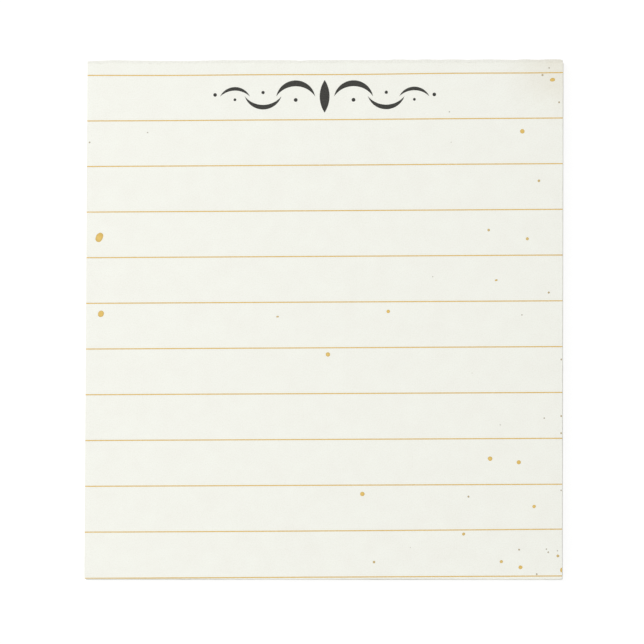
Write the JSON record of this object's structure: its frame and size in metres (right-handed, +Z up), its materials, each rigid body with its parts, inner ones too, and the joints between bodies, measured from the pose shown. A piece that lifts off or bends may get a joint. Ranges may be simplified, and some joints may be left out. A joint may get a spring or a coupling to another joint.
{
  "type": "notepad",
  "caption": "Small tear-off notepad: a block of ruled sheets with printed gold lines and specks, glued at the head to a chipboard back.",
  "frame": {"origin": "middle of the outline, at the underside of the backing board", "axes": "+Z up out of the writing surface, +Y towards the glued head, +X to the right as the sheet is read"},
  "size_m": [0.1396, 0.1524, 0.0057],
  "materials": {
    "chipboard": "rough pale grey recycled board with flecks",
    "writing_paper": "uncoated ivory writing paper",
    "padding_glue": "dried white padding glue, satin",
    "torn_paper": "torn, fibrous",
    "gold_line_ink": "matte gold printing ink",
    "gold_speck_ink": "matte gold printing ink",
    "charcoal_ink": "matte charcoal printing ink"
  },
  "bodies": {
    "root": {"backing_board": "chipboard", "sheets": "writing_paper", "glue_binding": "padding_glue", "torn_stub": "torn_paper", "ruled_lines": "gold_line_ink", "gold_specks": "gold_speck_ink", "heading_ornament": "charcoal_ink"}
  },
  "joints": []
}
